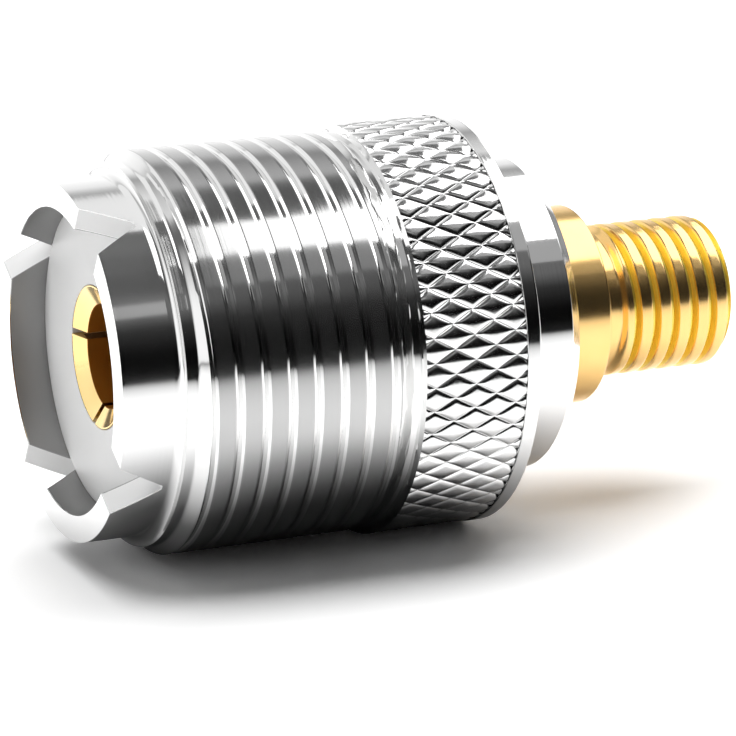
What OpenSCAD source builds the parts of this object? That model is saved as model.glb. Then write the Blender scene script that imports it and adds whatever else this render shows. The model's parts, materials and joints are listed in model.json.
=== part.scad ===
// Coaxial adapter, large UHF-type jack to small SMA-type jack.
// It stands on the face of the large jack, with the shared axis along +Z. Sizes are in millimetres.

/* [Nose of the large jack] */
// Outer diameter of the notched nose
nose_d = 14.1; // [13.2:0.1:14.6]
// Bore of the nose, which also holds the large insulator
nose_bore_d = 12; // [11:0.1:12.8]
// Length of the nose up to the first step of the thread
nose_len = 2.4; // [2:0.1:4]
// Radius of the fillet at the root of the nose
nose_fillet = 0.35; // [0.1:0.05:0.5]
// Bevel on the outer edge of the nose face
nose_bevel = 0.12; // [0.05:0.01:0.25]
// Number of keying notches in the nose
notch_count = 4; // [2:1:6]
// Width of each notch at the nose face
notch_w = 2.5; // [1.5:0.1:3.2]
// Width of each notch at its bottom
notch_root_w = 0.2; // [0.1:0.05:1.2]
// Depth of each notch along the axis
notch_depth = 1.85; // [0.8:0.05:2]

/* [Large thread] */
// Diameter over the crests of the large thread
uhf_thread_d = 15.85; // [15.4:0.01:16.1]
// Length from the end of the nose to the thread relief
uhf_thread_len = 8.6; // [6:0.05:12]
// Distance from one turn of the thread to the next
uhf_pitch = 1.058; // [0.85:0.001:1.4]
// Depth of the grooves between the turns
uhf_groove_depth = 0.38; // [0.2:0.01:0.45]
// Width of the flat at the bottom of those grooves
uhf_root_w = 0.02; // [0.02:0.01:0.12]
// How far the land ahead of the thread lies below the crests
lead_land_drop = 0.42; // [0.3:0.01:0.6]
// Length of that land
lead_land_len = 0.43; // [0.2:0.01:0.8]
// Width of the relief groove between the thread and the grip
relief_w = 0.45; // [0.4:0.05:1]
// Depth of the relief groove below the crests
relief_depth = 0.46; // [0.3:0.01:0.6]

/* [Knurled grip] */
// Diameter of the plain rim behind the knurl
grip_d = 16.4; // [16.2:0.1:18]
// Length of the knurled band behind its bevel
grip_len = 4.25; // [2:0.05:8]
// How far the land ahead of the grip lies below the thread crests
grip_land_drop = 0.05; // [0.02:0.01:0.15]
// Length of that land
grip_land_len = 0.375; // [0.05:0.005:1]
// Length of the steep bevel from that land up to the knurl
grip_bevel_len = 0.03; // [0.02:0.01:0.5]
// Number of diamonds round the band
knurl_count = 52; // [30:1:70]
// Angle of the knurl lines to the axis
knurl_angle = 30; // [25:1:40]
// Depth of the knurl lines
knurl_depth = 0.14; // [0.08:0.01:0.2]
// Width of the knurl lines at the top
knurl_line_w = 0.28; // [0.15:0.01:0.4]
// How far the diamonds lie below the rim
knurl_drop = 0.02; // [0.01:0.01:0.05]
// Length of the plain rim behind the knurl
rim_len = 0.6; // [0.4:0.05:2]
// Bevel on the back edge of the rim
rim_bevel = 0.1; // [0.05:0.01:0.3]

/* [Shoulder] */
// Diameter of the shoulder behind the grip
shoulder_d = 12.7; // [11:0.1:15]
// Length of the shoulder, bevel included
shoulder_len = 2.8; // [1.5:0.1:6]
// Bevel on the back edge of the shoulder
shoulder_bevel = 0.55; // [0.2:0.05:0.9]
// Fillet between the rim and the shoulder
shoulder_fillet = 0.2; // [0.1:0.05:0.5]
// Thickness of the inner wall between the large insulator and the small jack
web_len = 1.9; // [1:0.1:3]

/* [Large insulator and socket] */
// Depth of the insulator face below the nose face
bush_setback = 1.5; // [0.5:0.1:2.5]
// Diameter of the insulator neck that passes the inner wall
neck_d = 5.2; // [4:0.1:6]
// Thickness of the insulator behind the large socket
bush_floor = 0.8; // [0.5:0.1:2]
// Outer diameter of the large socket
uhf_socket_d = 5.6; // [5:0.1:7]
// Bore of the large socket, for a 4 mm pin
uhf_bore_d = 4.1; // [3.6:0.05:4.6]
// Thickness of the closed end of the large socket
uhf_socket_floor = 0.8; // [0.5:0.1:2]
// Width of the flat lip left round the bevelled mouth
uhf_lip_w = 0.06; // [0.02:0.01:0.2]
// Depth of that bevel along the axis
uhf_mouth_depth = 0.38; // [0.2:0.01:0.8]
// Width of the slots that split the socket into fingers
uhf_slot_w = 0.28; // [0.1:0.02:0.6]
// Length of those slots
uhf_slot_len = 7.5; // [4:0.1:9]
// Turn of those slots about the axis, in degrees
uhf_slot_turn = 23; // [0:1:89]
// Diameter of the tail behind the large socket
uhf_tail_d = 2.2; // [1.6:0.1:3.6]

/* [Small jack] */
// Diameter of the spigot pressed into the shell
spigot_d = 6.8; // [5.6:0.1:7.6]
// Length of the spigot
spigot_len = 4; // [2.5:0.1:5]
// Diameter of the flange
flange_d = 8.1; // [7.4:0.1:11]
// Thickness of the flange
flange_len = 2.33; // [1:0.05:4]
// Bevel on the edges of the flange
flange_bevel = 0.12; // [0.05:0.01:0.3]
// How far the plain neck lies below the crests of the small thread
small_neck_drop = 0.25; // [0.16:0.01:0.4]
// Length of that neck
small_neck_len = 1.27; // [0.6:0.05:3]
// Diameter over the crests of the small thread
sma_thread_d = 6.2; // [5.9:0.01:6.6]
// Length of the small thread
sma_thread_len = 4.75; // [3:0.05:9]
// Distance from one turn of the small thread to the next
sma_pitch = 0.88; // [0.65:0.01:1.1]
// Depth of the grooves between those turns
sma_groove_depth = 0.34; // [0.16:0.01:0.4]
// Width of the flat at the bottom of those grooves
sma_root_w = 0.08; // [0.02:0.01:0.15]
// Bevel at the end of the small thread
sma_bevel = 0.28; // [0.1:0.01:0.45]
// Diameter of the recess in the end of the small jack
recess_d = 4.6; // [4.3:0.05:4.9]
// Depth of that recess
recess_depth = 1.9; // [1:0.05:3]

/* [Small insulator and socket] */
// Diameter of the small insulator
sleeve_d = 4.1; // [3.4:0.05:4.3]
// Outer diameter of the small socket
sma_socket_d = 1.27; // [1.2:0.01:1.8]
// Bore of the small socket, for a 0.92 mm pin
sma_bore_d = 0.94; // [0.8:0.01:1]
// Depth of that bore
sma_bore_depth = 3; // [2.2:0.1:5]
// Bevel at the mouth of the small socket
sma_mouth_bevel = 0.1; // [0.02:0.01:0.12]
// Width of the slots in the small socket
sma_slot_w = 0.14; // [0.08:0.01:0.2]
// Length of those slots
sma_slot_len = 2; // [1:0.1:2.6]
// Diameter of the tail that plugs into the large socket
sma_tail_d = 0.9; // [0.6:0.05:1.2]
// Length of that tail
sma_tail_len = 1.8; // [1:0.1:2.4]

/* [Thread form] */
// Angle between the two sides of a thread groove
thread_angle = 60; // [50:1:65]

/* [Fits] */
// Gap all round the fingers of the large socket
finger_gap = 0.03; // [0.01:0.01:0.1]
// Gap all round the fingers of the small socket
small_finger_gap = 0.03; // [0.01:0.01:0.1]

/* [Hidden] */
$fn = 96;
// Length by which a cut runs clear of a face, or a joined piece sinks below one
over = 0.1;

// Radii of the turned shells
uhf_crest_r = uhf_thread_d / 2;
grip_land_r = uhf_crest_r - grip_land_drop;
knurl_top_r = grip_d / 2 - knurl_drop;
knurl_root_r = knurl_top_r - knurl_depth;
sma_crest_r = sma_thread_d / 2;

// Stations along the axis, from the nose face to the end of the small jack
lead_z = nose_len + lead_land_len;
crest_z = lead_z + lead_land_drop;
relief_z = nose_len + uhf_thread_len;
land_z = relief_z + relief_w;
grip_bevel_z = land_z + grip_land_len;
grip_z = grip_bevel_z + grip_bevel_len;
rim_z = grip_z + grip_len;
step_z = rim_z + rim_len;
shell_end_z = step_z + shoulder_len;
flange_z = shell_end_z + flange_len;
small_thread_z = flange_z + small_neck_len;
end_z = small_thread_z + sma_thread_len;

// Stations of the pieces inside
spigot_z = shell_end_z - spigot_len;
bush_end_z = spigot_z - web_len;
socket_end_z = bush_end_z - bush_floor;
uhf_bore_end_z = socket_end_z - uhf_socket_floor;
small_face_z = end_z - recess_depth;

nickel = "silver";
gold = "goldenrod";
ptfe = "whitesmoke";

// Points on an arc in the plane of an outline
function arc(centre_r, centre_z, radius, from, to, steps = 8) = [
    for (i = [0:steps])
        let (a = from + (to - from) * i / steps)
            [centre_r + radius * cos(a), centre_z + radius * sin(a)]
];

// Points of the grooves between the turns of a thread, each turn as a plain ring
function turn_grooves(crest_r, z_from, z_to, pitch, depth, root_w) =
    let (
        count = floor((z_to - z_from) / pitch),
        first_z = (z_from + z_to - (count - 1) * pitch) / 2,
        root = root_w / 2,
        reach = root + depth * tan(thread_angle / 2)
    )
        [
            for (i = [0:1:count - 1])
                let (z = first_z + i * pitch)
                    each [
                        [crest_r, z - reach],
                        [crest_r - depth, z - root],
                        [crest_r - depth, z + root],
                        [crest_r, z + reach]
                    ]
        ];

// Round bar or bore between two stations on the axis
module round_bar(d, z_from, z_to) {
    translate([0, 0, z_from]) cylinder(d = d, h = z_to - z_from);
}

// Star of diamonds standing above crossing lines, in rows that step round by half a diamond
module diamond_lattice(z_from, z_to) {
    count = 2 * knurl_count;
    diamond_w = PI * grip_d / knurl_count;
    line_spacing = diamond_w * cos(knurl_angle);
    apex_r = knurl_root_r + knurl_depth * line_spacing / knurl_line_w;
    row_h = diamond_w / tan(knurl_angle) / 2;
    rows = ceil((z_to - z_from) / row_h);
    points = [
        for (j = [0:rows], k = [0:count - 1])
            let (
                a = 360 * k / count,
                r = (j + k) % 2 == 0 ? knurl_root_r : apex_r
            )
                [r * cos(a), r * sin(a), z_from + j * row_h]
    ];
    skin = [
        for (j = [0:rows - 1], k = [0:count - 1])
            let (
                a = j * count + k,
                b = j * count + (k + 1) % count,
                c = a + count,
                d = b + count
            )
                each (j + k) % 2 == 0 ? [[a, c, d], [a, d, b]] : [[a, c, b], [b, c, d]]
    ];
    floor_face = [for (k = [0:count - 1]) k];
    roof_face = [for (k = [count - 1:-1:0]) rows * count + k];
    polyhedron(points = points, faces = concat(skin, [floor_face, roof_face]), convexity = 6);
}

// Knurled band with a bevelled front edge, sunk into the land ahead of it and the rim behind it
module knurl_band() {
    front_z = grip_bevel_z - over;
    front_r = grip_land_r - over * (knurl_top_r - grip_land_r) / grip_bevel_len;
    back_z = rim_z + rim_len / 2;
    intersection() {
        diamond_lattice(front_z - over, back_z + over);
        rotate_extrude()
            polygon([
                [0, front_z],
                [front_r, front_z],
                [knurl_top_r, grip_z],
                [knurl_top_r, back_z],
                [0, back_z]
            ]);
    }
}

// Cross cuts that split a socket into four fingers
module finger_slots(width, reach, z_from, z_to) {
    for (turn = [0, 90])
        rotate(turn)
            translate([-reach, -width / 2, z_from])
                cube([2 * reach, width, z_to - z_from]);
}

// Half section of the large shell before it is bored, notched and knurled
module shell_section() {
    nose_r = nose_d / 2;
    lead_land_r = uhf_crest_r - lead_land_drop;
    relief_r = uhf_crest_r - relief_depth;
    rim_r = grip_d / 2;
    shoulder_r = shoulder_d / 2;
    root_fillet = min(nose_fillet, lead_land_r - nose_r);
    nose_root = root_fillet > 0
        ? arc(nose_r + root_fillet, nose_len - root_fillet, root_fillet, 180, 90)
        : [[nose_r, nose_len]];
    polygon(concat(
        [[0, 0], [nose_r - nose_bevel, 0], [nose_r, nose_bevel]],
        nose_root,
        [
            [lead_land_r, nose_len],
            [lead_land_r, lead_z],
            [uhf_crest_r, crest_z]
        ],
        turn_grooves(uhf_crest_r, crest_z, relief_z, uhf_pitch, uhf_groove_depth, uhf_root_w),
        [
            [uhf_crest_r, relief_z],
            [relief_r, relief_z + relief_w / 3],
            [relief_r, land_z - relief_w / 3],
            [grip_land_r, land_z],
            [grip_land_r, rim_z],
            [rim_r, rim_z],
            [rim_r, step_z - rim_bevel],
            [rim_r - rim_bevel, step_z]
        ],
        arc(shoulder_r + shoulder_fillet, step_z + shoulder_fillet, shoulder_fillet, 270, 180),
        [
            [shoulder_r, shell_end_z - shoulder_bevel],
            [shoulder_r - shoulder_bevel, shell_end_z],
            [0, shell_end_z]
        ]
    ));
}

// Vee notch through the nose wall, narrowing from the face to its bottom
module nose_notch() {
    slope = (notch_w - notch_root_w) / notch_depth / 2;
    mouth = notch_w / 2 + slope * over;
    root = notch_root_w / 2;
    rotate([90, 0, 90])
        linear_extrude(nose_d)
            polygon([[-mouth, -over], [mouth, -over], [root, notch_depth], [-root, notch_depth]]);
}

module uhf_shell() {
    color(nickel)
    difference() {
        union() {
            rotate_extrude() shell_section();
            knurl_band();
        }
        round_bar(nose_bore_d, -over, bush_end_z);
        round_bar(neck_d, 0, shell_end_z);
        round_bar(spigot_d, spigot_z, shell_end_z + over);
        for (i = [0:notch_count - 1])
            rotate(180 / notch_count + 360 * i / notch_count) nose_notch();
    }
}

module uhf_insulator() {
    color(ptfe)
    difference() {
        union() {
            round_bar(nose_bore_d, bush_setback, bush_end_z);
            round_bar(neck_d, bush_setback, spigot_z);
        }
        round_bar(uhf_socket_d + 2 * finger_gap, 0, socket_end_z);
        round_bar(uhf_tail_d, 0, spigot_z + over);
    }
}

module uhf_socket() {
    mouth_d = uhf_socket_d - 2 * uhf_lip_w;
    color(gold)
    difference() {
        union() {
            round_bar(uhf_socket_d, bush_setback, socket_end_z);
            round_bar(uhf_tail_d, bush_setback, spigot_z);
        }
        round_bar(uhf_bore_d, 0, uhf_bore_end_z);
        translate([0, 0, bush_setback])
            cylinder(d1 = mouth_d, d2 = uhf_bore_d, h = uhf_mouth_depth);
        rotate(uhf_slot_turn)
            finger_slots(uhf_slot_w, uhf_socket_d, 0, bush_setback + uhf_slot_len);
        round_bar(sma_tail_d, spigot_z - sma_tail_len, spigot_z + over);
    }
}

module sma_shell() {
    spigot_r = spigot_d / 2;
    flange_r = flange_d / 2;
    neck_r = sma_crest_r - small_neck_drop;
    sleeve_r = sleeve_d / 2;
    recess_r = recess_d / 2;
    thread_end_z = end_z - sma_bevel;
    color(gold)
    rotate_extrude()
        polygon(concat(
            [
                [sleeve_r, spigot_z],
                [spigot_r, spigot_z],
                [spigot_r, shell_end_z],
                [flange_r - flange_bevel, shell_end_z],
                [flange_r, shell_end_z + flange_bevel],
                [flange_r, flange_z - flange_bevel],
                [flange_r - flange_bevel, flange_z],
                [neck_r, flange_z],
                [neck_r, small_thread_z - small_neck_drop],
                [sma_crest_r, small_thread_z]
            ],
            turn_grooves(sma_crest_r, small_thread_z, thread_end_z, sma_pitch, sma_groove_depth, sma_root_w),
            [
                [sma_crest_r, thread_end_z],
                [sma_crest_r - sma_bevel, end_z],
                [recess_r, end_z],
                [recess_r, small_face_z],
                [sleeve_r, small_face_z]
            ]
        ));
}

module sma_insulator() {
    color(ptfe)
    difference() {
        round_bar(sleeve_d, spigot_z, small_face_z);
        round_bar(sma_socket_d, spigot_z - over, small_face_z + over);
        round_bar(sma_socket_d + 2 * small_finger_gap, small_face_z - sma_bore_depth, small_face_z + over);
    }
}

module sma_socket() {
    mouth_d = sma_bore_d + 2 * sma_mouth_bevel;
    color(gold)
    difference() {
        union() {
            round_bar(sma_socket_d, spigot_z, small_face_z);
            round_bar(sma_tail_d, spigot_z - sma_tail_len, small_face_z);
        }
        round_bar(sma_bore_d, small_face_z - sma_bore_depth, small_face_z + over);
        translate([0, 0, small_face_z - sma_mouth_bevel])
            cylinder(d1 = sma_bore_d, d2 = mouth_d, h = sma_mouth_bevel);
        finger_slots(sma_slot_w, sma_socket_d, small_face_z - sma_slot_len, small_face_z + over);
    }
}

uhf_shell();
uhf_insulator();
uhf_socket();
sma_shell();
sma_insulator();
sma_socket();
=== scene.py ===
import json
import math

import bmesh
import bpy
from mathutils import Matrix, Vector


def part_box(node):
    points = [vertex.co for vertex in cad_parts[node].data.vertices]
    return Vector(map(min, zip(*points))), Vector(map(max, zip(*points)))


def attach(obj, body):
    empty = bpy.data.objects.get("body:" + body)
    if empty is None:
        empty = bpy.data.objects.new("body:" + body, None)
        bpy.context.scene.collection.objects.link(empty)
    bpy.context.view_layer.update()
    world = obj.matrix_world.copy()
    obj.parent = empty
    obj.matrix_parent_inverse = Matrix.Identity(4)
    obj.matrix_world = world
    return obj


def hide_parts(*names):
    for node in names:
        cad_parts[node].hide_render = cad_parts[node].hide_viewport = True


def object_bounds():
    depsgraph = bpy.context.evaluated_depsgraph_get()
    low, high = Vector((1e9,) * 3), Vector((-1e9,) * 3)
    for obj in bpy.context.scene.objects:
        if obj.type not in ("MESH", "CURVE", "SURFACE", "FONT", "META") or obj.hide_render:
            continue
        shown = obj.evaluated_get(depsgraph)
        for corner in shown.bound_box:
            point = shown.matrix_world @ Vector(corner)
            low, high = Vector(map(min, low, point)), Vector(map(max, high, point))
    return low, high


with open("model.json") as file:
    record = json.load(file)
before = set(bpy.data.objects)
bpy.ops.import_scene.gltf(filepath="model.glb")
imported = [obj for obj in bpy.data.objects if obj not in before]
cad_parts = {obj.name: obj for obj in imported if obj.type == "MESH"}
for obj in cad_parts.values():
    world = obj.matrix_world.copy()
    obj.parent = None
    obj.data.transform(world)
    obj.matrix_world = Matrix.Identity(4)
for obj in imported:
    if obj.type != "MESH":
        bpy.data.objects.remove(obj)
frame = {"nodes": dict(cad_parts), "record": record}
cadLow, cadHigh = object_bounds()
mm = 0.001
mounts = {m["name"]: m for m in frame["record"]["mounts"]}
print("frame loaded:", ", ".join(sorted(frame["nodes"])))


def boxRadius(node):
    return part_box(node)[1].x


def boxStart(node):
    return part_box(node)[0].z


def boxEnd(node):
    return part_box(node)[1].z


# where the pieces meet along the axis, all read from the frame
shellEnd = boxEnd("uhf_shell")
rimRadius = boxRadius("uhf_shell")
boreRadius = boxRadius("uhf_insulator")
bushFace = boxStart("uhf_insulator")
spigotZ = boxStart("sma_shell")
smallEnd = boxEnd("sma_shell")
flangeRadius = boxRadius("sma_shell")
smallFace = boxEnd("sma_insulator")
sleeveRadius = boxRadius("sma_insulator")


class Wire:
    # one output of a node tree; arithmetic on it adds Math nodes
    def __init__(self, tree, socket=None):
        self.tree = tree
        self.socket = socket

    def node(self, kind, settings=None, inputs=None, out=0):
        made = self.tree.nodes.new(kind)
        for name, value in (settings or {}).items():
            if name == "stops":
                fillRamp(made.color_ramp, value)
            else:
                setattr(made, name, value)
        for key, value in (inputs or {}).items():
            if isinstance(value, Wire):
                self.tree.links.new(value.socket, made.inputs[key])
            else:
                made.inputs[key].default_value = value
        return Wire(self.tree, made.outputs[out])

    def math(self, operation, *values):
        return self.node("ShaderNodeMath", {"operation": operation}, dict(enumerate(values)))

    def __add__(self, other):
        return self.math("ADD", self, other)

    def __sub__(self, other):
        return self.math("SUBTRACT", self, other)

    def __rsub__(self, other):
        return self.math("SUBTRACT", other, self)

    def __mul__(self, other):
        return self.math("MULTIPLY", self, other)

    def __truediv__(self, other):
        return self.math("DIVIDE", self, other)

    def __rtruediv__(self, other):
        return self.math("DIVIDE", other, self)

    def __abs__(self):
        return self.math("ABSOLUTE", self)

    __radd__ = __add__
    __rmul__ = __mul__

    def least(self, other):
        return self.math("MINIMUM", self, other)

    def most(self, other):
        return self.math("MAXIMUM", self, other)


def fillRamp(ramp, stops):
    while len(ramp.elements) < len(stops):
        ramp.elements.new(1.0)
    for element, (place, colour) in zip(ramp.elements, stops):
        element.position = place
        element.color = colour


# materials

def newMaterial(name):
    material = bpy.data.materials.new(name)
    material.use_nodes = True
    tree = material.node_tree
    shader = tree.nodes["Principled BSDF"]
    return material, Wire(tree), shader


def connect(wire, shader, socketName):
    wire.tree.links.new(wire.socket, shader.inputs[socketName])


def within(value, low, high):
    return value.math("GREATER_THAN", value, low) * value.math("LESS_THAN", value, high)


def axisDistance(wire, place):
    level = wire.node("ShaderNodeVectorMath", {"operation": "MULTIPLY"}, {0: place, 1: (1.0, 1.0, 0.0)})
    return wire.node("ShaderNodeVectorMath", {"operation": "LENGTH"}, {0: level}, out=1)


def platedMetal(name, settings):
    material, wire, shader = newMaterial(name)
    shader.inputs["Metallic"].default_value = 1.0
    place = wire.node("ShaderNodeTexCoord", out=3)
    height = wire.node("ShaderNodeSeparateXYZ", inputs={0: place}, out=2)
    radius = axisDistance(wire, place)
    cloud = wire.node("ShaderNodeTexNoise", inputs={
        "Vector": place, "Scale": settings["cloudScale"], "Detail": 3.0, "Roughness": 0.55})
    colour = wire.node("ShaderNodeMix", {"data_type": "RGBA"}, {
        0: cloud, 6: settings["deepColour"], 7: settings["paleColour"]}, out=2)
    roughness = cloud * settings["roughnessSpread"] + settings["roughness"]
    metallic = 1.0
    # each zone is a band of radius and height with its own tone and a duller finish, and some zones have a
    # pale haze; the tones in the socket bore and slots are painted shade, the one in the small grooves
    # painted reflected light
    for zone in settings["zones"]:
        mask = within(radius, *zone["radius"]) * within(height, *zone["height"])
        toned = wire.node("ShaderNodeVectorMath", {"operation": "MULTIPLY"}, {0: colour, 1: zone["tone"]})
        colour = wire.node("ShaderNodeMix", {"data_type": "RGBA"}, {0: mask, 6: colour, 7: toned}, out=2)
        roughness = roughness + mask * zone["dullness"]
        if zone.get("haze"):
            metallic = metallic - mask * zone["haze"]
    if isinstance(metallic, Wire):
        connect(metallic, shader, "Metallic")
    connect(colour, shader, "Base Color")
    connect(roughness, shader, "Roughness")
    # lathe lines run round the axis, so they depend on height alone
    lathe = wire.node("ShaderNodeTexNoise", {"noise_dimensions": "1D"}, {
        "W": height, "Scale": settings["latheScale"], "Detail": 2.0})
    ripple = wire.node("ShaderNodeTexNoise", inputs={
        "Vector": place, "Scale": settings["rippleScale"], "Detail": 1.0})
    relief = lathe * settings["latheShare"] + ripple
    bump = wire.node("ShaderNodeBump", inputs={
        "Strength": settings["bumpStrength"], "Distance": settings["bumpDepth"], "Height": relief})
    connect(bump, shader, "Normal")
    return material


crestRadius = mounts["large_thread"]["dims"]["r_mm"] * mm
threadCrests = {
    "radius": (crestRadius - 0.008 * mm, crestRadius + 0.05 * mm),
    "height": (3.2 * mm, 11.1 * mm),
    "tone": (0.56, 0.56, 0.56),
    "dullness": 0.06,
    "haze": 0.03,
}

# darker and duller inside the nose bore
noseBore = {
    "radius": (0.0, boreRadius + 0.04 * mm),
    "height": (0.05 * mm, bushFace),
    "tone": (0.37, 0.37, 0.37),
    "dullness": 0.28,
}

notchCuts = {
    "radius": (boreRadius + 0.06 * mm, 7.0 * mm),
    "height": (0.04 * mm, 1.95 * mm),
    "tone": (1.0, 1.0, 1.0),
    "dullness": 0.25,
    "haze": 0.65,
}

knurlBand = {
    "radius": (7.95 * mm, 8.19 * mm),
    "height": (11.86 * mm, 16.1 * mm),
    "tone": (1.0, 1.0, 1.0),
    "dullness": 0.06,
}

noseSide = {
    "radius": (7.0 * mm, 7.1 * mm),
    "height": (0.1 * mm, 2.1 * mm),
    "tone": (1.0, 1.0, 1.0),
    "dullness": 0.03,
}

nickelPlate = platedMetal("nickelPlate", {
    "deepColour": (0.80, 0.80, 0.80, 1.0),
    "paleColour": (0.90, 0.90, 0.895, 1.0),
    "cloudScale": 260.0,
    "roughness": 0.05,
    "roughnessSpread": 0.06,
    "latheScale": 9000.0,
    "latheShare": 0.35,
    "rippleScale": 900.0,
    "bumpStrength": 0.12,
    "bumpDepth": 0.02 * mm,
    "zones": [threadCrests, noseBore, notchCuts, knurlBand, noseSide],
})

# painted shade: the socket bore is darkened to brown inside, with a pale haze
socketBorePaintedShade = {
    "radius": (0.0, mounts["large_socket"]["dims"]["r_mm"] * mm + 0.02 * mm),
    "height": (bushFace, 12.5 * mm),
    "tone": (0.5, 0.27, 0.07),
    "dullness": 0.25,
    "haze": 0.4,
}

# painted shade: darker inside the socket's slots
socketSlotsPaintedShade = {
    "radius": (2.08 * mm, 2.62 * mm),
    "height": (bushFace + 0.4 * mm, 12.5 * mm),
    "tone": (0.3, 0.18, 0.06),
    "dullness": 0.2,
}

# painted reflected light: the small thread's grooves are brighter and yellower, with a pale haze
smallGroovesPaintedReflection = {
    "radius": (2.6 * mm, 3.0 * mm),
    "height": (23.2 * mm, 27.9 * mm),
    "tone": (1.08, 1.16, 0.56),
    "dullness": 0.12,
    "haze": 0.3,
}

goldWear = {
    "radius": (2.8 * mm, 4.1 * mm),
    "height": (19.6 * mm, 27.9 * mm),
    "tone": (1.0, 0.9, 0.8),
    "dullness": 0.04,
    "haze": 0.045,
}

goldPlate = platedMetal("goldPlate", {
    "deepColour": (0.92, 0.62, 0.23, 1.0),
    "paleColour": (1.0, 0.78, 0.38, 1.0),
    "cloudScale": 420.0,
    "roughness": 0.09,
    "roughnessSpread": 0.08,
    "latheScale": 9000.0,
    "latheShare": 0.4,
    "rippleScale": 1200.0,
    "bumpStrength": 0.15,
    "bumpDepth": 0.02 * mm,
    "zones": [socketBorePaintedShade, socketSlotsPaintedShade, smallGroovesPaintedReflection, goldWear],
})


def ptfeMaterial(settings):
    material, wire, shader = newMaterial("whitePtfe")
    place = wire.node("ShaderNodeTexCoord", out=3)
    cloud = wire.node("ShaderNodeTexNoise", inputs={
        "Vector": place, "Scale": settings["cloudScale"], "Detail": 4.0})
    colour = wire.node("ShaderNodeMix", {"data_type": "RGBA"}, {
        0: cloud, 6: settings["deepColour"], 7: settings["paleColour"]}, out=2)
    connect(colour, shader, "Base Color")
    connect(cloud * settings["roughnessSpread"] + settings["roughness"], shader, "Roughness")
    # faint rings left by the facing cut
    radius = axisDistance(wire, place)
    rings = wire.node("ShaderNodeTexNoise", {"noise_dimensions": "1D"}, {
        "W": radius, "Scale": settings["ringScale"], "Detail": 1.0})
    bump = wire.node("ShaderNodeBump", inputs={
        "Strength": settings["bumpStrength"], "Distance": settings["bumpDepth"], "Height": rings})
    connect(bump, shader, "Normal")
    shader.inputs["Subsurface Weight"].default_value = settings["subsurface"]
    shader.inputs["Subsurface Radius"].default_value = settings["subsurfaceRadius"]
    shader.inputs["Subsurface Scale"].default_value = settings["subsurfaceScale"]
    return material


whitePtfe = ptfeMaterial({
    "deepColour": (0.86, 0.86, 0.855, 1.0),
    "paleColour": (0.94, 0.94, 0.935, 1.0),
    "cloudScale": 350.0,
    "roughness": 0.36,
    "roughnessSpread": 0.1,
    "ringScale": 5000.0,
    "bumpStrength": 0.15,
    "bumpDepth": 0.02 * mm,
    "subsurface": 0.1,
    "subsurfaceRadius": (1.0, 1.0, 1.0),
    "subsurfaceScale": 0.4 * mm,
})
print("materials made")


# turned shapes

turnColumns = 208  # points round every turned surface
weldDistance = 0.0005 * mm
axisGap = 0.0002 * mm  # stands for the axis in outlines that reach it, welded shut later

smoothing = {
    "pieceDegrees": 38.0,
    "shellDegrees": 30.0,  # sharper, so the flanks of the thread stay apart from its chamfers
    "splitDegrees": 5.0,
    "splitRatio": 8,
}


def roundedOutline(corners, steps=4):
    # corners are (radius, height, corner rounding); each rounding becomes a short arc
    outline = []
    count = len(corners)
    for i, (r, z, rounding) in enumerate(corners):
        here = Vector((r, z))
        if rounding <= 0.0 or i in (0, count - 1):
            outline.append(here)
            continue
        before = Vector(corners[i - 1][:2]) - here
        after = Vector(corners[i + 1][:2]) - here
        angle = before.angle(after)
        reach = min(rounding / math.tan(angle / 2), 0.45 * before.length, 0.45 * after.length)
        first = here + before.normalized() * reach
        last = here + after.normalized() * reach
        for k in range(steps + 1):
            t = k / steps
            outline.append(first * (1 - t) ** 2 + here * (2 * t * (1 - t)) + last * t ** 2)
    return outline


def addTurned(bm, outline, closed=False):
    # sweeps an outline round the axis; the metal is on the left of its run
    rings = []
    for point in outline:
        r, z = point[0], point[1]
        ring = []
        for i in range(turnColumns):
            a = 2 * math.pi * i / turnColumns
            ring.append(bm.verts.new((r * math.cos(a), r * math.sin(a), z)))
        rings.append(ring)
    pairs = list(zip(rings, rings[1:]))
    if closed:
        pairs.append((rings[-1], rings[0]))
    for lower, upper in pairs:
        for i in range(turnColumns):
            j = (i + 1) % turnColumns
            bm.faces.new((lower[i], lower[j], upper[j], upper[i]))
    return rings


def weld(bm):
    bmesh.ops.remove_doubles(bm, verts=bm.verts, dist=weldDistance)
    bmesh.ops.dissolve_degenerate(bm, edges=bm.edges, dist=weldDistance / 10)


def addMesh(bm, mesh):
    bm.from_mesh(mesh)
    bpy.data.meshes.remove(mesh)


def finishPiece(name, bm, material, sharpDegrees=smoothing["pieceDegrees"], outward=True):
    if outward:
        bmesh.ops.recalc_face_normals(bm, faces=bm.faces)
    # a narrow bevel strip beside a broad face is split from it, so the face keeps its own normals
    bm.edges.index_update()
    split = []
    limit = math.radians(smoothing["splitDegrees"])
    for edge in bm.edges:
        if len(edge.link_faces) == 2 and edge.calc_face_angle() > limit:
            areas = sorted(face.calc_area() for face in edge.link_faces)
            if areas[1] > smoothing["splitRatio"] * areas[0]:
                split.append(edge.index)
    mesh = bpy.data.meshes.new(name)
    bm.to_mesh(mesh)
    bm.free()
    mesh.materials.clear()
    mesh.materials.append(material)
    for polygon in mesh.polygons:
        polygon.material_index = 0
        polygon.use_smooth = True
    mesh.set_sharp_from_angle(angle=math.radians(sharpDegrees))
    for index in split:
        mesh.edges[index].use_edge_sharp = True
    piece = bpy.data.objects.new(name, mesh)
    bpy.context.scene.collection.objects.link(piece)
    print(name, "made,", sum(len(p.vertices) - 2 for p in mesh.polygons), "triangles")
    return piece


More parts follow.
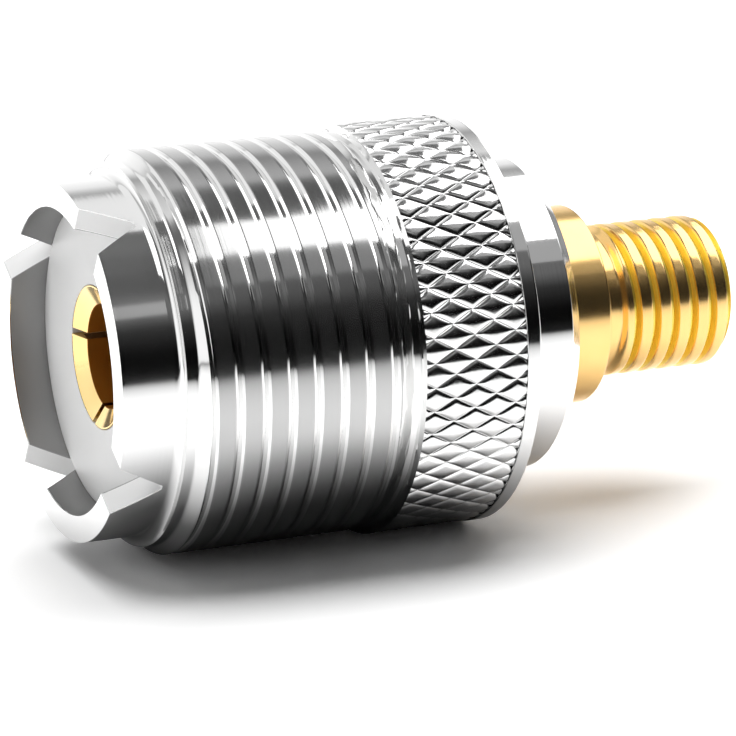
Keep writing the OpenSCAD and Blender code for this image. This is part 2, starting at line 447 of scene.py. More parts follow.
def cutAway(bm, cutter):
    # takes one mesh out of another, both closed
    body = bpy.data.meshes.new("cutBody")
    bm.to_mesh(body)
    bm.free()
    tool = bpy.data.meshes.new("cutTool")
    cutter.to_mesh(tool)
    cutter.free()
    bodyObject = bpy.data.objects.new("cutBody", body)
    toolObject = bpy.data.objects.new("cutTool", tool)
    for item in (bodyObject, toolObject):
        bpy.context.scene.collection.objects.link(item)
    cut = bodyObject.modifiers.new("cut", "BOOLEAN")
    cut.operation = "DIFFERENCE"
    cut.solver = "EXACT"
    cut.use_self = True
    cut.object = toolObject
    graph = bpy.context.evaluated_depsgraph_get()
    result = bpy.data.meshes.new_from_object(bodyObject.evaluated_get(graph), depsgraph=graph)
    for item, data in ((bodyObject, body), (toolObject, tool)):
        bpy.data.objects.remove(item)
        bpy.data.meshes.remove(data)
    made = bmesh.new()
    made.from_mesh(result)
    bpy.data.meshes.remove(result)
    return made


def bevelSharp(bm, width, keep, degrees=40.0, segments=3):
    # rounds the sharp edges for which keep(edge) is true
    limit = math.radians(degrees)
    edges = [e for e in bm.edges if len(e.link_faces) == 2 and e.calc_face_angle() > limit and keep(e)]
    bmesh.ops.bevel(bm, geom=edges, offset=width, offset_type="OFFSET", segments=segments,
                    profile=0.5, affect="EDGES", clamp_overlap=True)


# node trees that make the thread and the knurl

def geometryTree(name, sizes):
    tree = bpy.data.node_groups.new(name, "GeometryNodeTree")
    tree.interface.new_socket("Geometry", in_out="INPUT", socket_type="NodeSocketGeometry")
    tree.interface.new_socket("Geometry", in_out="OUTPUT", socket_type="NodeSocketGeometry")
    for label, value in sizes.items():
        kind = "NodeSocketFloat"
        if isinstance(value, int):
            kind = "NodeSocketInt"
        if isinstance(value, bpy.types.Material):
            kind = "NodeSocketMaterial"
        tree.interface.new_socket(label, in_out="INPUT", socket_type=kind)
    source = tree.nodes.new("NodeGroupInput")
    wires = {s.name: Wire(tree, s) for s in source.outputs if s.name in sizes}
    return tree, wires


def endTree(wire, mesh, material):
    merged = wire.node("GeometryNodeMergeByDistance", inputs={"Geometry": mesh, "Distance": weldDistance})
    real = wire.node("GeometryNodeRealizeInstances", inputs={"Geometry": merged})
    painted = wire.node("GeometryNodeSetMaterial", inputs={"Geometry": real, "Material": material})
    target = wire.tree.nodes.new("NodeGroupOutput")
    wire.tree.links.new(painted.socket, target.inputs[0])


def runTree(tree, sizes):
    holder = bpy.data.objects.new("treeHolder", bpy.data.meshes.new("treeHolder"))
    bpy.context.scene.collection.objects.link(holder)
    modifier = holder.modifiers.new("tree", "NODES")
    modifier.node_group = tree
    for item in tree.interface.items_tree:
        if item.in_out == "INPUT" and item.name in sizes:
            modifier[item.identifier] = sizes[item.name]
    graph = bpy.context.evaluated_depsgraph_get()
    mesh = bpy.data.meshes.new_from_object(holder.evaluated_get(graph), depsgraph=graph)
    holder.modifiers.remove(modifier)
    empty = holder.data
    bpy.data.objects.remove(holder)
    bpy.data.meshes.remove(empty)
    return mesh


def axisPoint(wire, radius, angle, height):
    return wire.node("ShaderNodeCombineXYZ", inputs={
        0: radius * angle.math("COSINE", angle), 1: radius * angle.math("SINE", angle), 2: height})


def threadSurface(sizes):
    # tube whose rows follow the helix, from one plain ring to another
    tree, w = geometryTree("threadTree", sizes)
    wire = Wire(tree)
    grid = wire.node("GeometryNodeMeshGrid", inputs={
        "Size X": 1.0, "Size Y": 1.0, "Vertices X": w["Columns"], "Vertices Y": w["Rows"]})
    place = wire.node("GeometryNodeInputPosition")
    across = wire.node("ShaderNodeSeparateXYZ", inputs={0: place}, out=0) + 0.5
    along = wire.node("ShaderNodeSeparateXYZ", inputs={0: place}, out=1) + 0.5
    angle = across * (2 * math.pi)
    free = w["Origin"] + along * w["Run"] + across * w["Pitch"]
    height = free.most(w["Start"]).least(w["End"])
    # distance to the nearest turn of the groove
    turn = (height - w["Groove place"]) / w["Pitch"] - across
    offset = abs(turn.math("FRACT", turn + 0.5) - 0.5) * w["Pitch"]
    slope = w["Groove depth"] / (w["Groove width"] / 2 - w["Groove floor"])
    fade = (1 - (height - w["Start"]) / w["Fade length"]).most(0.0)
    behind = height.math("GREATER_THAN", height, w["Relief place"])
    flank = w["Crest"] - w["Groove depth"] + (offset - w["Groove floor"]).most(0.0) * slope
    edge = w["Crest"] + (offset - w["Edge reach"]) * w["Edge slope"]
    # lifted clear ahead of its start and behind the relief
    groove = flank.least(edge) + (fade + behind * 3) * w["Groove depth"]
    # the plain turned outline that the groove is cut into
    soft = w["Outline rounding"]
    rise = height - w["Ramp place"]
    ramp = w["Front radius"] + rise.math("SMOOTH_MAX", rise, 0.0, soft)
    climb = abs(height - w["Relief place"]) - w["Relief floor"]
    valley = w["Relief radius"] + climb.math("SMOOTH_MAX", climb, 0.0, soft / 2) * w["Relief slope"]
    land = w["Land radius"] + (height - w["Bevel place"]).most(0.0) * w["Bevel slope"]
    top = w["Crest"] + behind * (land - w["Crest"])
    outline = ramp.math("SMOOTH_MIN", ramp, top, soft)
    outline = ramp.math("SMOOTH_MIN", outline, valley, soft)
    radius = outline.math("SMOOTH_MIN", outline, groove, w["Edge rounding"])
    moved = wire.node("GeometryNodeSetPosition", inputs={
        "Geometry": grid, "Position": axisPoint(wire, radius, angle, height)})
    endTree(wire, moved, w["Material"])
    return runTree(tree, sizes)


def threadSizes(settings, material):
    # the rows start a whole number of turns before the groove, so its edges lie on rows
    pitch = settings["Pitch"]
    rowStep = pitch / settings["rowsPerPitch"]
    turns = math.ceil((settings["Groove place"] - settings["Start"]) / pitch) + 1
    origin = settings["Groove place"] - turns * pitch
    rows = math.ceil((settings["End"] - origin) / rowStep)
    sizes = {key: value for key, value in settings.items() if key != "rowsPerPitch"}
    sizes.update({"Columns": turnColumns + 1, "Rows": rows + 1, "Run": rows * rowStep, "Origin": origin,
                  "Material": material})
    return sizes


def knurlSurface(sizes):
    # one low pyramid, set in staggered rows and bent round the axis
    tree, w = geometryTree("knurlTree", sizes)
    wire = Wire(tree)
    width = 2 * math.pi / w["Diamonds round"]
    tile = wire.node("GeometryNodeMeshGrid", inputs={
        "Size X": 1.0, "Size Y": 1.0, "Vertices X": w["Tile points"], "Vertices Y": w["Tile points"]})
    place = wire.node("GeometryNodeInputPosition")
    p = wire.node("ShaderNodeSeparateXYZ", inputs={0: place}, out=0)
    q = wire.node("ShaderNodeSeparateXYZ", inputs={0: place}, out=1)
    p = p.math("SINE", p * math.pi) * 0.5  # rows of points close up towards the lines
    q = q.math("SINE", q * math.pi) * 0.5
    edge = (0.5 - abs(p)).least(0.5 - abs(q))
    line = (1 - edge / w["Line share"]).most(0.0)
    # four facets that fall away to the lines, with soft ridges between them
    slant = p.math("SMOOTH_MAX", abs(p), abs(q), w["Ridge rounding"])
    depth = line * w["Line depth"] + slant * w["Crown"]
    shaped = wire.node("GeometryNodeSetPosition", inputs={
        "Geometry": tile,
        "Position": wire.node("ShaderNodeCombineXYZ", inputs={
            0: (p + q) * width / 2, 1: (p - q) * w["Diamond length"] / 2, 2: 0 - depth})})
    rowStep = w["Diamond length"] / 2
    spots = wire.node("GeometryNodeMeshGrid", inputs={
        "Size X": width * (w["Diamonds round"] - 1), "Size Y": rowStep * (w["Rows"] - 1),
        "Vertices X": w["Diamonds round"], "Vertices Y": w["Rows"]})
    spot = wire.node("ShaderNodeSeparateXYZ", inputs={0: place}, out=0)
    level = wire.node("ShaderNodeSeparateXYZ", inputs={0: place}, out=1)
    row = level.math("ROUND", (level + rowStep * (w["Rows"] - 1) / 2) / rowStep)
    odd = row.math("MODULO", row, 2.0)
    staggered = wire.node("GeometryNodeSetPosition", inputs={
        "Geometry": spots,
        "Position": wire.node("ShaderNodeCombineXYZ", inputs={0: spot + odd * width / 2, 1: level})})
    copies = wire.node("GeometryNodeInstanceOnPoints", inputs={"Points": staggered, "Instance": shaped})
    real = wire.node("GeometryNodeRealizeInstances", inputs={"Geometry": copies})
    angle = wire.node("ShaderNodeSeparateXYZ", inputs={0: place}, out=0)
    free = wire.node("ShaderNodeSeparateXYZ", inputs={0: place}, out=1) + (w["Start"] + w["End"]) / 2
    sunk = wire.node("ShaderNodeSeparateXYZ", inputs={0: place}, out=2)
    height = free.most(w["Start"]).least(w["End"])
    bent = wire.node("GeometryNodeSetPosition", inputs={
        "Geometry": real, "Position": axisPoint(wire, w["Top radius"] + sunk, angle, height)})
    endTree(wire, bent, w["Material"])
    return runTree(tree, sizes)


# large nickel-plated shell

shell = {
    "noseRadius": 7.05 * mm,
    "noseLength": 2.4 * mm,
    "noseFillet": 0.35 * mm,
    "noseEdge": 0.07 * mm,
    "notchCount": 4,
    "notchWidth": 2.5 * mm,
    "notchRoot": 0.2 * mm,
    "notchDepth": 1.85 * mm,
    "leadLandRadius": 7.505 * mm,
    "leadLandLength": 0.43 * mm,
    "reliefZ": 11.0 * mm,
    "reliefWidth": 0.45 * mm,
    "reliefDepth": 0.46 * mm,
    "gripLandDrop": 0.05 * mm,
    "gripLandLength": 0.375 * mm,
    "gripBevelLength": 0.03 * mm,
    "knurlDrop": 0.02 * mm,
    "knurlLength": 4.25 * mm,
    "knurlSink": 0.1 * mm,
    "rimLength": 0.6 * mm,
    "rimFrontEdge": 0.03 * mm,
    "rimBackEdge": 0.1 * mm,
    "shoulderFillet": 0.2 * mm,
    "shoulderRadius": 6.35 * mm,
    "shoulderBevel": 0.55 * mm,
    "spigotRadius": 3.4 * mm,
    "webLength": 1.9 * mm,
    "neckRadius": 2.6 * mm,
    "edgeRounding": 0.06 * mm,
}

knurlTop = rimRadius - shell["knurlDrop"]
gripLandRadius = crestRadius - shell["gripLandDrop"]
landZ = shell["reliefZ"] + shell["reliefWidth"]
gripBevelZ = landZ + shell["gripLandLength"]
gripZ = gripBevelZ + shell["gripBevelLength"]
rimZ = gripZ + shell["knurlLength"]
stepZ = rimZ + shell["rimLength"]
noseSplitZ = shell["noseLength"] - shell["noseFillet"]
bushEnd = spigotZ - shell["webLength"]

largeThread = {
    "Start": shell["noseLength"],
    "End": gripZ,
    "Pitch": 1.058 * mm,
    "rowsPerPitch": 26,
    "Crest": crestRadius,
    "Groove depth": 0.177 * mm,
    "Groove width": 0.2254 * mm,
    "Groove floor": 0.0,
    "Groove place": 2.73 * mm,
    "Fade length": 0.01 * mm,
    "Front radius": shell["leadLandRadius"],
    "Ramp place": shell["noseLength"] + shell["leadLandLength"],
    "Relief place": shell["reliefZ"] + shell["reliefWidth"] / 2,
    "Relief radius": crestRadius - shell["reliefDepth"],
    "Relief floor": shell["reliefWidth"] / 6,
    "Relief slope": 3.0,
    "Land radius": gripLandRadius,
    "Bevel place": gripBevelZ,
    "Bevel slope": (knurlTop - gripLandRadius) / shell["gripBevelLength"],
    "Edge reach": 0.2035 * mm,
    "Edge slope": 0.4,
    "Edge rounding": 0.01 * mm,
    "Outline rounding": 0.08 * mm,
}

knurl = {
    "Diamonds round": 52,
    "Rows": 7,
    "Tile points": 11,
    "Diamond length": 1.716 * mm,
    "Line share": 0.11,
    "Line depth": 0.05 * mm,
    "Crown": 0.15 * mm,
    "Ridge rounding": 0.15,
    "Top radius": knurlTop,
    "Start": gripZ,
    "End": rimZ,
    "Material": nickelPlate,
}


def makeNose():
    ring = bmesh.new()
    r, bore = shell["noseRadius"], boreRadius
    addTurned(ring, [(bore, 0.0), (r, 0.0), (r, noseSplitZ), (bore, noseSplitZ)], closed=True)
    bmesh.ops.recalc_face_normals(ring, faces=ring.faces)
    notches = bmesh.new()
    reach = shell["notchDepth"]
    slope = (shell["notchWidth"] - shell["notchRoot"]) / reach
    for i in range(shell["notchCount"]):
        turn = Matrix.Rotation(math.pi * (2 * i + 1) / shell["notchCount"], 4, "Z")
        vee = bmesh.ops.create_cube(notches, size=1.0)["verts"]
        for v in vee:
            z = reach if v.co.z > 0 else -reach
            width = shell["notchRoot"] + slope * (reach - z)
            v.co = turn @ Vector((r + v.co.x * r, v.co.y * width, z))
    ring = cutAway(ring, notches)
    weld(ring)
    nearEnd = noseSplitZ - 0.05 * mm
    bevelSharp(ring, shell["noseEdge"], lambda e: max(v.co.z for v in e.verts) < nearEnd)
    cap = [f for f in ring.faces if min(v.co.z for v in f.verts) > nearEnd]
    bmesh.ops.delete(ring, geom=cap, context="FACES_ONLY")
    mesh = bpy.data.meshes.new("nose")
    ring.to_mesh(mesh)
    ring.free()
    return mesh


def makeKnurlRing():
    bm = bmesh.new()
    addMesh(bm, knurlSurface(knurl))
    inner = gripLandRadius - shell["knurlSink"]
    border = [e for e in bm.edges if e.is_boundary]
    grown = bmesh.ops.extrude_edge_only(bm, edges=border)["geom"]
    for item in grown:
        if isinstance(item, bmesh.types.BMVert):
            flat = item.co.to_2d().normalized() * inner
            item.co.x, item.co.y = flat
    bmesh.ops.bridge_loops(bm, edges=[e for e in bm.edges if e.is_boundary])
    mesh = bpy.data.meshes.new("knurl")
    bmesh.ops.recalc_face_normals(bm, faces=bm.faces)
    bm.to_mesh(mesh)
    bm.free()
    return mesh


def makeShell():
    bm = bmesh.new()
    nose, fillet = shell["noseRadius"], shell["noseFillet"]
    arcSteps = 10
    front = []
    for k in range(arcSteps + 1):
        a = math.pi / 2 * k / arcSteps
        front.append((nose + fillet * (1 - math.cos(a)), noseSplitZ + fillet * math.sin(a)))
    front.append((shell["leadLandRadius"], shell["noseLength"]))
    addTurned(bm, front)
    edge = shell["edgeRounding"]
    bevel = shell["shoulderBevel"]
    shoulder = shell["shoulderRadius"]
    # the knurled ring fills the pocket between the thread and the rim
    back = roundedOutline([
        (knurlTop, gripZ, 0.0),
        (gripLandRadius, gripZ, 0.0),
        (gripLandRadius, rimZ, 0.0),
        (rimRadius, rimZ, shell["rimFrontEdge"]),
        (rimRadius, stepZ, shell["rimBackEdge"]),
        (shoulder, stepZ, shell["shoulderFillet"]),
        (shoulder, shellEnd - bevel, edge),
        (shoulder - bevel, shellEnd, edge),
        (shell["spigotRadius"], shellEnd, 0.0),
        (shell["spigotRadius"], spigotZ, 0.0),
        (shell["neckRadius"], spigotZ, 0.0),
        (shell["neckRadius"], bushEnd, 0.0),
        (boreRadius, bushEnd, 0.0),
        (boreRadius, noseSplitZ, 0.0),
    ])
    addTurned(bm, back)
    addMesh(bm, threadSurface(threadSizes(largeThread, nickelPlate)))
    addMesh(bm, makeNose())
    weld(bm)
    bmesh.ops.recalc_face_normals(bm, faces=bm.faces)
    addMesh(bm, makeKnurlRing())
    piece = finishPiece("uhfShell", bm, nickelPlate, smoothing["shellDegrees"], outward=False)
    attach(piece, "root")
    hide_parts("uhf_shell")


makeShell()


# large insulator and its socket

bush = {
    "edge": 0.05 * mm,
    "fingerGap": 0.03 * mm,
    "floor": 0.8 * mm,
    "tailRadius": 1.1 * mm,
}

socket = {
    "boreRadius": mounts["large_socket"]["dims"]["r_mm"] * mm,
    "lip": 0.06 * mm,
    "mouthDepth": 0.38 * mm,
    "floor": 0.8 * mm,
    "slotTurn": 23.0,
    "slotWidth": 0.28 * mm,
    "slotLength": 7.5 * mm,
    "edge": 0.03 * mm,
}

socketRadius = boxRadius("uhf_socket")
socketEnd = bushEnd - bush["floor"]
pinTail = {"radius": 0.45 * mm, "length": 1.8 * mm}


def makeBush():
    bm = bmesh.new()
    hole = socketRadius + bush["fingerGap"]
    outline = roundedOutline([
        (hole, socketEnd, 0.0),
        (hole, bushFace, bush["edge"]),
        (boreRadius, bushFace, bush["edge"]),
        (boreRadius, bushEnd, 0.0),
        (shell["neckRadius"], bushEnd, 0.0),
        (shell["neckRadius"], spigotZ, 0.0),
        (bush["tailRadius"], spigotZ, 0.0),
        (bush["tailRadius"], socketEnd, 0.0),
    ])
    addTurned(bm, outline, closed=True)
    piece = finishPiece("uhfInsulator", bm, whitePtfe)
    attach(piece, "root")
    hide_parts("uhf_insulator")


def slotBoxes(width, low, high, reach, degrees):
    boxes = bmesh.new()
    size = Matrix.Diagonal((2 * reach, width, high - low, 1.0))
    middle = Matrix.Translation((0.0, 0.0, (low + high) / 2))
    for turn in (math.radians(degrees), math.radians(degrees + 90.0)):
        bmesh.ops.create_cube(boxes, size=1.0, matrix=Matrix.Rotation(turn, 4, "Z") @ middle @ size)
    return boxes


def makeSocket():
    bm = bmesh.new()
    bore = socket["boreRadius"]
    mouth = socketRadius - socket["lip"]
    outline = [
        (axisGap, socketEnd - socket["floor"]),
        (bore, socketEnd - socket["floor"]),
        (bore, bushFace + socket["mouthDepth"]),
        (mouth, bushFace),
        (socketRadius, bushFace),
        (socketRadius, socketEnd),
        (bush["tailRadius"], socketEnd),
        (bush["tailRadius"], spigotZ),
        (pinTail["radius"], spigotZ),
        (pinTail["radius"], spigotZ - pinTail["length"]),
        (axisGap, spigotZ - pinTail["length"]),
    ]
    addTurned(bm, outline, closed=True)
    weld(bm)
    bmesh.ops.recalc_face_normals(bm, faces=bm.faces)
    slots = slotBoxes(socket["slotWidth"], 0.0, bushFace + socket["slotLength"], 2 * socketRadius,
                      socket["slotTurn"])
    bm = cutAway(bm, slots)
    weld(bm)
    bevelSharp(bm, socket["edge"], lambda e: max(v.co.z for v in e.verts) < bushFace + 2 * mm, segments=2)
    piece = finishPiece("uhfSocket", bm, goldPlate)
    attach(piece, "root")
    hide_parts("uhf_socket")


makeBush()
makeSocket()


# small gold-plated jack

jack = {
    "spigotRadius": shell["spigotRadius"],
    "flangeLength": 2.33 * mm,
    "flangeEdge": 0.12 * mm,
    "neckDrop": 0.25 * mm,
    "neckLength": 1.27 * mm,
    "endBevel": 0.28 * mm,
    "recessRadius": 2.3 * mm,
    "edge": 0.05 * mm,
}

smallCrest = mounts["small_thread"]["dims"]["r_mm"] * mm
flangeZ = shellEnd + jack["flangeLength"]
smallThreadZ = flangeZ + jack["neckLength"]
neckRadius = smallCrest - jack["neckDrop"]
farAway = 1.0 * mm  # puts the end bevel's valley past the end of the thread

smallThread = {
    "Start": flangeZ + jack["neckLength"] / 2,
    "End": smallEnd,
    "Pitch": 0.85 * mm,
    "rowsPerPitch": 18,
    "Crest": smallCrest,
    "Groove depth": 0.36 * mm,
    "Groove width": 0.4 * mm,
    "Groove floor": 0.04 * mm,
    "Groove place": 23.055 * mm,
    "Fade length": 1.0 * mm,
    "Front radius": neckRadius,
    "Ramp place": smallThreadZ - jack["neckDrop"],
    "Relief place": smallEnd + farAway,
    "Relief radius": smallCrest - jack["endBevel"] - farAway,
    "Relief floor": 0.0,
    "Relief slope": 1.0,
    "Land radius": smallCrest,
    "Bevel place": smallEnd + 2 * farAway,
    "Bevel slope": 1.0,
    "Edge reach": 0.2 * mm,
    "Edge slope": 0.4,
    "Edge rounding": 0.06 * mm,
    "Outline rounding": 0.08 * mm,
}


def makeJack():
    bm = bmesh.new()
    edge = jack["edge"]
    endRadius = smallCrest - jack["endBevel"]
    lower = roundedOutline([
        (sleeveRadius, spigotZ, 0.0),
        (jack["spigotRadius"], spigotZ, 0.0),
        (jack["spigotRadius"], shellEnd, 0.0),
        (flangeRadius, shellEnd, jack["flangeEdge"]),
        (flangeRadius, flangeZ, jack["flangeEdge"]),
        (neckRadius, flangeZ, edge),
        (neckRadius, smallThread["Start"], 0.0),
    ])
    upper = roundedOutline([
        (endRadius, smallEnd, 0.0),
        (jack["recessRadius"], smallEnd, edge),
        (jack["recessRadius"], smallFace, 0.0),
        (sleeveRadius, smallFace, 0.0),
        (sleeveRadius, spigotZ, 0.0),
    ])
    addTurned(bm, lower)
    addTurned(bm, upper)
    addMesh(bm, threadSurface(threadSizes(smallThread, goldPlate)))
    weld(bm)
    piece = finishPiece("smaShell", bm, goldPlate)
    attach(piece, "root")
    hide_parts("sma_shell")


smallContact = {
    "radius": boxRadius("sma_socket"),
    "boreRadius": mounts["small_socket"]["dims"]["r_mm"] * mm,
    "boreDepth": 3.0 * mm,
    "mouthBevel": 0.1 * mm,
    "slotWidth": 0.14 * mm,
    "slotLength": 2.0 * mm,
    "fingerGap": 0.03 * mm,
    "edge": 0.02 * mm,
}


def makeSleeve():
    bm = bmesh.new()
    hole = smallContact["radius"] + smallContact["fingerGap"]
    outline = roundedOutline([
        (smallContact["radius"], spigotZ, 0.0),
        (sleeveRadius, spigotZ, 0.0),
        (sleeveRadius, smallFace, bush["edge"]),
        (hole, smallFace, bush["edge"]),
        (hole, smallFace - smallContact["boreDepth"], 0.0),
        (smallContact["radius"], smallFace - smallContact["boreDepth"], 0.0),
    ])
    addTurned(bm, outline, closed=True)
    piece = finishPiece("smaInsulator", bm, whitePtfe)
    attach(piece, "root")
    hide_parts("sma_insulator")


def makeSmallContact():
    bm = bmesh.new()
    bore = smallContact["boreRadius"]
    mouth = bore + smallContact["mouthBevel"]
    radius = smallContact["radius"]
    floor = smallFace - smallContact["boreDepth"]
    outline = [
        (axisGap, spigotZ - pinTail["length"]),
        (pinTail["radius"], spigotZ - pinTail["length"]),
        (pinTail["radius"], spigotZ),
        (radius, spigotZ),
        (radius, smallFace),
        (mouth, smallFace),
        (bore, smallFace - smallContact["mouthBevel"]),
        (bore, floor),
        (axisGap, floor),
    ]
    addTurned(bm, outline, closed=True)
    weld(bm)
    bmesh.ops.recalc_face_normals(bm, faces=bm.faces)
    slots = slotBoxes(smallContact["slotWidth"], smallFace - smallContact["slotLength"], smallFace + mm,
                      2 * radius, 0.0)
    bm = cutAway(bm, slots)
    weld(bm)
    bevelSharp(bm, smallContact["edge"], lambda e: min(v.co.z for v in e.verts) > smallFace - mm, segments=2)
    piece = finishPiece("smaSocket", bm, goldPlate)
    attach(piece, "root")
    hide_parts("sma_socket")


makeJack()
makeSleeve()
makeSmallContact()
print("pieces made")


# camera, set as the photograph was taken

cameraSettings = {
    "place": Vector((-145.775, 5.044, -48.342)) * mm,
    "forward": Vector((0.92135, -0.04231, 0.38644)),
    "up": Vector((0.0, 0.99406, 0.10885)),
    "lens": 194.3,
    "sensor": 36.0,
    "nearest": 0.005,
    "farthest": 10.0,
}


def makeCamera():
    data = bpy.data.cameras.new("photoCamera")
    data.lens = cameraSettings["lens"]
    data.sensor_width = cameraSettings["sensor"]
    data.clip_start = cameraSettings["nearest"]
    data.clip_end = cameraSettings["farthest"]
    camera = bpy.data.objects.new("photoCamera", data)
    back = -cameraSettings["forward"].normalized()
    right = cameraSettings["up"].cross(back).normalized()
    up = back.cross(right)
    turn = Matrix((right, up, back)).transposed().to_4x4()
    camera.matrix_world = Matrix.Translation(cameraSettings["place"]) @ turn
    bpy.context.scene.collection.objects.link(camera)
    bpy.context.scene.camera = camera


makeCamera()
print("camera set")


# stage: the part lies on its side on a pale floor, so the floor stands beside the axis

stageUp = Vector((-0.2497, 0.9683, 0.0)).normalized()
stageAxis = Vector((0.0, 0.0, 1.0))
stageFront = stageUp.cross(stageAxis).normalized()  # towards the camera, level with the floor
if stageFront.dot(cameraSettings["place"]) < 0:
    stageFront.negate()
stageMiddle = Vector((0.0, 0.0, (cadLow.z + cadHigh.z) / 2))

stage = {
    "floorSize": 1.6,
    "floorColour": 0.9,
    "floorWhite": 1.25,  # in what the camera and the metal see
    # in reflections the floor carries a painted shadow, an oval patch under the part
    "paintedShadowWidth": 10 * mm,
    "paintedShadowLength": 9.5 * mm,
    "paintedShadowMiddle": 9.5 * mm,
    "paintedShadowTone": 0.1,
    "paintedShadowInner": 0.5,
    "paintedShadowOuter": 1.65,
    # and in reflections the floor is painted darker towards the front
    "paintedDarkFrom": 20 * mm,
    "paintedDarkTo": 190 * mm,
    "worldLight": 0.07,
    # brightness of the room in reflections, by degrees up from the front horizon
    "room": [(-180, 0.9), (0, 0.01), (6, 0.003), (14, 0.004), (20, 0.012), (30, 0.035), (40, 0.15),
             (48, 0.16), (54, 0.1), (66, 0.08), (76, 0.09), (86, 0.15), (108, 0.15), (113, 0.25),
             (118, 0.8), (128, 0.65), (140, 0.4), (150, 0.95), (180, 1.4)],
    # and by how far a direction leans to either end of the part
    "leftWhite": 1.1,
    "leftFrom": -0.8,
    "leftTo": -0.92,
    "rightDark": 0.25,
    "rightFrom": 0.42,
    "rightTo": 0.56,
}

topLamp = {"up": 0.6, "front": -0.05, "left": 0.0, "width": 0.5, "length": 1.1, "watts": 4.85}
backLamp = {"up": 0.3, "front": -0.35, "left": -0.3, "width": 0.2, "length": 0.5, "watts": 1.1}
leftLamp = {"up": 0.16, "front": -0.06, "left": 0.5, "width": 0.3, "length": 0.3, "watts": 0.48}

# cards that show only in reflections; corners are millimetres to the front and along the axis
overheadCard = {
    "height": 60 * mm,
    "strength": 2.6,
    "corners": [(30, 25.2), (30, 120), (-70, 120), (-70, 72), (-42, 64), (-42, 50), (-25, 46), (-9.5, 40),
                (8, 30), (8, 23.1)],
}

dimCard = {
    "height": 60 * mm,
    "strength": 0.42,
    "corners": [(56, 30.4), (56, 120), (30, 120), (30, 24.9), (43.6, 27.5)],
}

leftCard = {
    "height": 60 * mm,
    "strength": 0.95,
    "corners": [(-3, 22.2), (-70, 27), (-70, -40), (-3, -40)],
}

nearCard = {
    "height": 60 * mm,
    "strength": 1.8,
    "corners": [(34, 11), (-3, 11), (-3, -40), (34, -40)],
}

noseCard = {
    "height": 60 * mm,
    "strength": 0.42,
    "corners": [(60, 29.5), (79, 34.5), (79, 10), (60, 10)],
}


def lightPath(wire, name):
    path = wire.node("ShaderNodeLightPath").socket.node
    return Wire(wire.tree, path.outputs[name])


def along(wire, place, direction):
    return wire.node("ShaderNodeVectorMath", {"operation": "DOT_PRODUCT"},
                     {0: place, 1: tuple(direction)}, out=1)


def stageMaterial(name):
    material = bpy.data.materials.new(name)
    material.use_nodes = True
    tree = material.node_tree
    tree.nodes.remove(tree.nodes["Principled BSDF"])
    return material, Wire(tree)


def showSurface(wire):
    wire.tree.links.new(wire.socket, wire.tree.nodes["Material Output"].inputs["Surface"])


def makeFloor():
    bm = bmesh.new()
    half = stage["floorSize"] / 2
    low = stageMiddle - stageUp * rimRadius
    corners = [(-half, -half), (half, -half), (half, half), (-half, half)]
    bm.faces.new([bm.verts.new(low + stageFront * x + stageAxis * y) for x, y in corners])
    bm.normal_update()
    for face in bm.faces:
        if face.normal.dot(stageUp) < 0:
            face.normal_flip()
    mesh = bpy.data.meshes.new("floor")
    bm.to_mesh(mesh)
    bm.free()
    material, wire = stageMaterial("paleFloor")
    place = wire.node("ShaderNodeTexCoord", out=3)
    front = along(wire, place, stageFront)
    across = front / stage["paintedShadowWidth"]
    lengthwise = (along(wire, place, stageAxis) - stage["paintedShadowMiddle"]) / stage["paintedShadowLength"]
    reach = wire.math("SQRT", across * across + lengthwise * lengthwise)
    # painted shadow, seen only in reflections: an oval under the part, darkest in its middle
    tone = wire.node("ShaderNodeMapRange", {"interpolation_type": "SMOOTHSTEP"}, {
        0: reach, 1: stage["paintedShadowInner"], 2: stage["paintedShadowOuter"], 3: stage["paintedShadowTone"], 4: 1.0})
    # painted darkening of the floor towards the front, seen only in reflections
    far = wire.node("ShaderNodeMapRange", {"clamp": True}, {
        0: front, 1: stage["paintedDarkFrom"], 2: stage["paintedDarkTo"], 3: 1.0, 4: 0.0})
    tone = tone.least(far)
    glossy = lightPath(wire, "Is Glossy Ray")
    onFloor = lightPath(wire, "Diffuse Depth").least(1.0)
    # white as the camera and the metal see it, its own colour in the light that it throws back
    looked = lightPath(wire, "Is Camera Ray") + glossy * (1 - onFloor)
    seen = looked * (stage["floorWhite"] - stage["floorColour"]) + stage["floorColour"]
    # for glossy rays the colour takes the painted shadow and the painted darkening towards the front
    pale = wire.node("ShaderNodeBsdfDiffuse", inputs={"Color": (1 - glossy * (1 - tone)) * seen})
    # clear from below
    clear = wire.node("ShaderNodeBsdfTransparent")
    behind = wire.node("ShaderNodeNewGeometry", out=6)
    showSurface(wire.node("ShaderNodeMixShader", inputs={0: behind, 1: pale, 2: clear}))
    mesh.materials.append(material)
    floor = bpy.data.objects.new("floor", mesh)
    bpy.context.scene.collection.objects.link(floor)


def makeCard(name, settings):
    bm = bmesh.new()
    corners = [stageUp * settings["height"] + (stageFront * x + stageAxis * z) * mm
               for x, z in settings["corners"]]
    bm.faces.new([bm.verts.new(corner) for corner in corners])
    mesh = bpy.data.meshes.new(name)
    bm.to_mesh(mesh)
    bm.free()
    material, wire = stageMaterial(name)
    # not in the light that metal throws on to the floor
    onFloor = lightPath(wire, "Diffuse Depth").least(1.0)
    showSurface(wire.node("ShaderNodeEmission", inputs={"Strength": (1 - onFloor) * settings["strength"]}))
    mesh.materials.append(material)
    card = bpy.data.objects.new(name, mesh)
    card.visible_camera = False
    card.visible_diffuse = False
    card.visible_transmission = False
    card.visible_shadow = False
    bpy.context.scene.collection.objects.link(card)


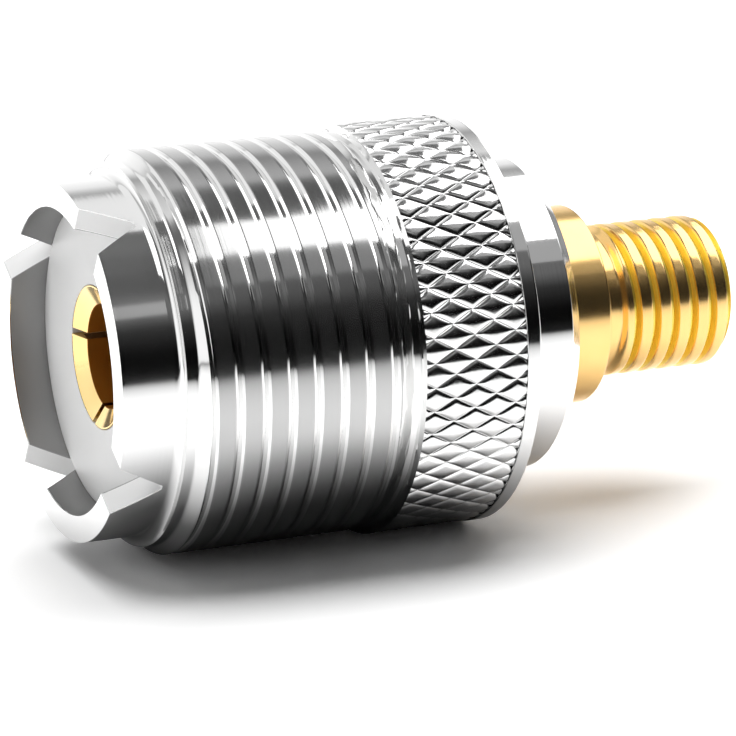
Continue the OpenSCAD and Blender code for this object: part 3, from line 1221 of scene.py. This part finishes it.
def makeLamp(name, settings):
    place = (stageMiddle + stageUp * settings["up"] + stageFront * settings["front"]
             - stageAxis * settings["left"])
    data = bpy.data.lights.new(name, "AREA")
    data.shape = "ELLIPSE"
    data.size = settings["width"]
    data.size_y = settings["length"]
    data.energy = settings["watts"]
    lamp = bpy.data.objects.new(name, data)
    aim = (stageMiddle - place).normalized()
    lamp.matrix_world = Matrix.Translation(place) @ aim.to_track_quat("-Z", "Y").to_matrix().to_4x4()
    lamp.visible_camera = False
    lamp.visible_glossy = False
    bpy.context.scene.collection.objects.link(lamp)


def makeWorld():
    world = bpy.data.worlds.new("studio")
    bpy.context.scene.world = world
    world.use_nodes = True
    tree = world.node_tree
    wire = Wire(tree)
    toward = wire.node("ShaderNodeTexCoord")
    up, front, side = (along(wire, toward, way) for way in (stageUp, stageFront, stageAxis))
    turn = up.math("ARCTAN2", up, front) / (2 * math.pi) + 0.5
    brightest = max(level for _, level in stage["room"])
    stops = [(0.5 + angle / 360, (level / brightest,) * 3 + (1.0,)) for angle, level in stage["room"]]
    room = wire.node("ShaderNodeValToRGB", {"stops": stops}, {0: turn}) * brightest
    left = wire.node("ShaderNodeMapRange", {"clamp": True}, {
        0: side, 1: stage["leftFrom"], 2: stage["leftTo"], 3: 0.0, 4: 1.0})
    right = wire.node("ShaderNodeMapRange", {"clamp": True}, {
        0: side, 1: stage["rightFrom"], 2: stage["rightTo"], 3: 1.0, 4: stage["rightDark"]})
    mirrored = room * right + left * (stage["leftWhite"] - room).most(0.0)
    direct = lightPath(wire, "Is Camera Ray").most(lightPath(wire, "Is Transmission Ray"))
    # the room shows only in what the camera sees mirrored; the floor under the part keeps its dark shadow
    onFloor = lightPath(wire, "Diffuse Depth").least(1.0)
    glossy = lightPath(wire, "Is Glossy Ray") * (1 - onFloor)
    strength = (1 - direct) * (glossy * mirrored + (1 - glossy) * stage["worldLight"]) + direct
    tree.nodes["Background"].inputs["Color"].default_value = (1.0, 1.0, 1.0, 1.0)
    tree.links.new(strength.socket, tree.nodes["Background"].inputs["Strength"])


makeFloor()
makeWorld()
makeLamp("topLamp", topLamp)
makeLamp("backLamp", backLamp)
makeLamp("leftLamp", leftLamp)
makeCard("overheadCard", overheadCard)
makeCard("dimCard", dimCard)
makeCard("leftCard", leftCard)
makeCard("nearCard", nearCard)
makeCard("noseCard", noseCard)
bpy.context.scene.view_settings.view_transform = "Standard"
print("stage made")
